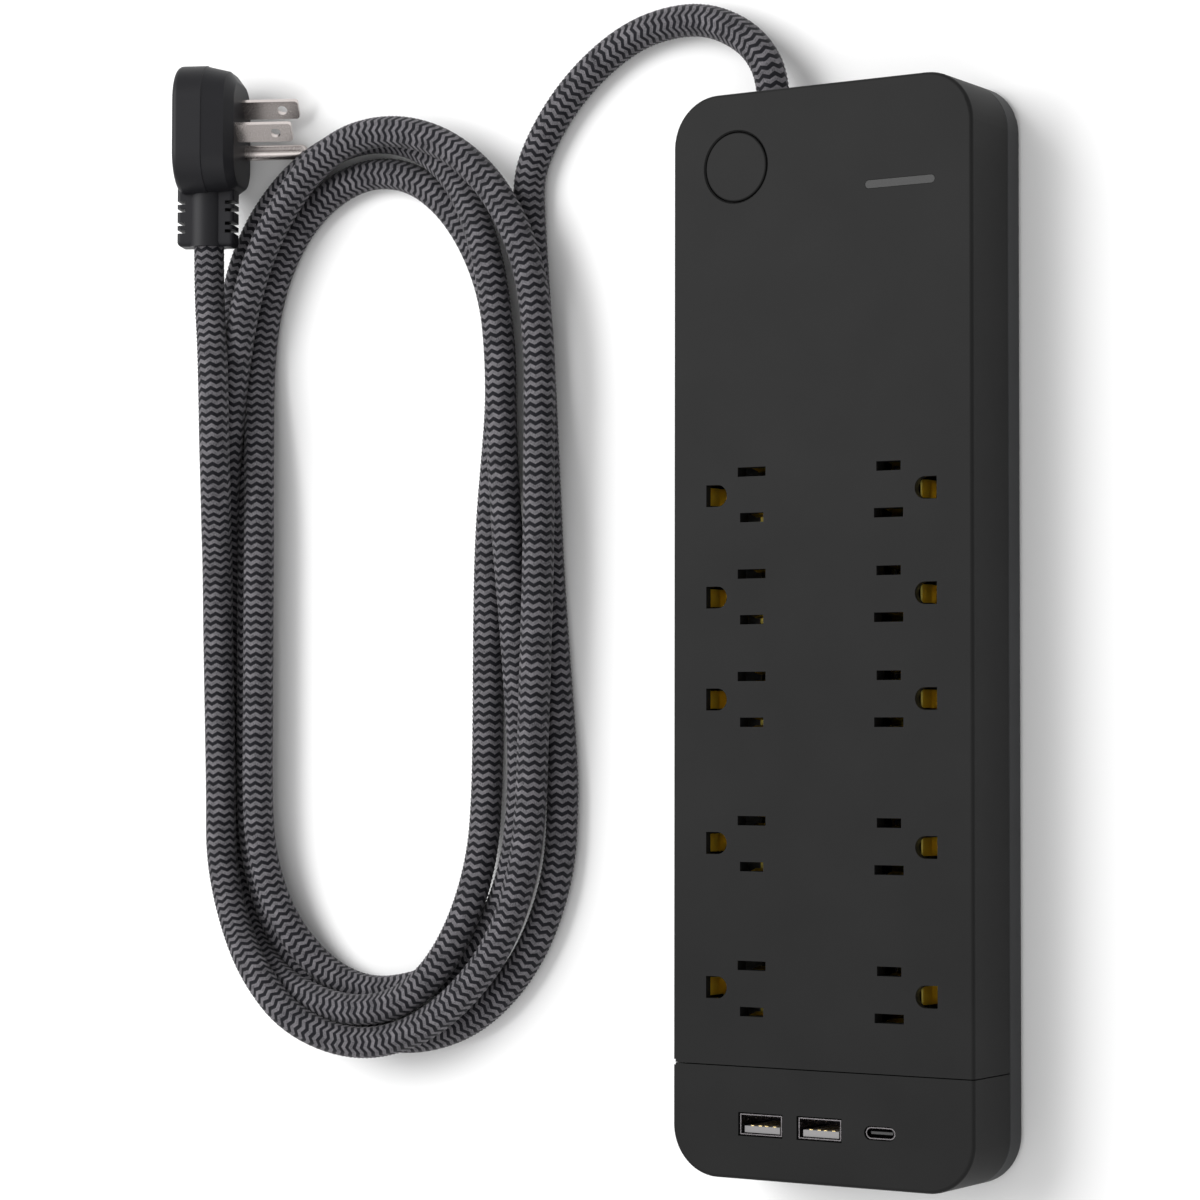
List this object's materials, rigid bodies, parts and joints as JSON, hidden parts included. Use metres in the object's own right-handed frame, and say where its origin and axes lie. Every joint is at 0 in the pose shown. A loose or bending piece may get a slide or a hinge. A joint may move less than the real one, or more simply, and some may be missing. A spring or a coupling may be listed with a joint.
{
  "type": "power strip",
  "caption": "Flat rectangular surge-protected power strip with two columns of grounded outlets, USB ports, a push button and a coiled braided lead with a flat plug.",
  "frame": {"origin": "centre of the housing's footprint on the surface it stands on", "axes": "+Y along the housing towards the end the lead leaves, +Z out of the outlet face"},
  "size_m": [0.2837, 0.3348, 0.0371],
  "materials": {
    "shell_plastic": "fine matte texture",
    "base_plastic": "fine matte texture",
    "foot_rubber": "matte",
    "screw_steel": "zinc plated",
    "relief_rubber": "moulded matte",
    "plug_plastic": "satin moulded",
    "prong_metal": "nickel plated",
    "braid": "two-tone braided sleeve",
    "contact_brass": "rolled strip",
    "carrier_plastic": "plain",
    "switch_plastic": "gloss",
    "plunger_plastic": "gloss",
    "spring_steel": "spring wire",
    "lens_plastic": "smoked gloss",
    "lamp_plastic": "clear",
    "board": "solder mask",
    "varistor_coat": "epoxy",
    "film_box": "gloss",
    "fuse_metal": "plated",
    "choke_core": "coated ferrite",
    "socket_steel": "nickel plated",
    "tongue_plastic": "gloss",
    "contact_gold": "gold flash",
    "transformer_tape": "tape",
    "can_aluminium": "sleeved can",
    "line_core": "insulated wire",
    "neutral_core": "insulated wire",
    "ground_core": "insulated wire"
  },
  "bodies": {
    "housing": {"base_shell": "base_plastic", "front_cover": "shell_plastic", "usb_end_cap": "shell_plastic", "rubber_feet": "foot_rubber", "case_screws": "screw_steel", "cord_bush": "relief_rubber", "cord_clamp": "carrier_plastic", "clamp_screws": "screw_steel", "line_lead": "line_core", "neutral_lead": "neutral_core", "ground_lead": "ground_core", "switched_lead": "line_core", "button_cage": "carrier_plastic", "button_spring": "spring_steel", "switch_body": "switch_plastic", "switch_terminals": "contact_brass", "indicator_lens": "lens_plastic", "indicator_board": "board", "indicator_lamps": "lamp_plastic", "surge_board": "board", "varistors": "varistor_coat", "film_capacitor": "film_box", "thermal_fuse": "fuse_metal", "choke": "choke_core", "neutral_bar_left": "contact_brass", "neutral_bar_right": "contact_brass", "line_bar_left": "contact_brass", "line_bar_right": "contact_brass", "ground_bar_left": "contact_brass", "ground_bar_right": "contact_brass", "contact_carrier_left": "carrier_plastic", "contact_carrier_right": "carrier_plastic", "usb_board": "board", "usb_a_shell_1": "socket_steel", "usb_a_shell_2": "socket_steel", "usb_a_tongue_1": "tongue_plastic", "usb_a_tongue_2": "tongue_plastic", "usb_contacts": "contact_gold", "usb_c_shell": "socket_steel", "usb_c_tongue": "tongue_plastic", "usb_transformer": "transformer_tape", "usb_capacitors": "can_aluminium", "cord_arch": "braid", "cord_coil": "braid", "cord_tail": "braid", "plug_body": "plug_plastic", "plug_relief": "relief_rubber", "plug_blade_line": "prong_metal", "plug_blade_neutral": "prong_metal", "plug_ground_pin": "prong_metal"},
    "button": {"power_button": "shell_plastic", "switch_plunger": "plunger_plastic"}
  },
  "joints": [
    {"name": "button_press", "type": "slide", "parent": "housing", "child": "button", "axis": [0, 0, -1], "range_m": [0, 0.0025], "stiffness_N_per_m": 600, "springref_m": -0.001, "deforming": ["button_spring"]}
  ]
}
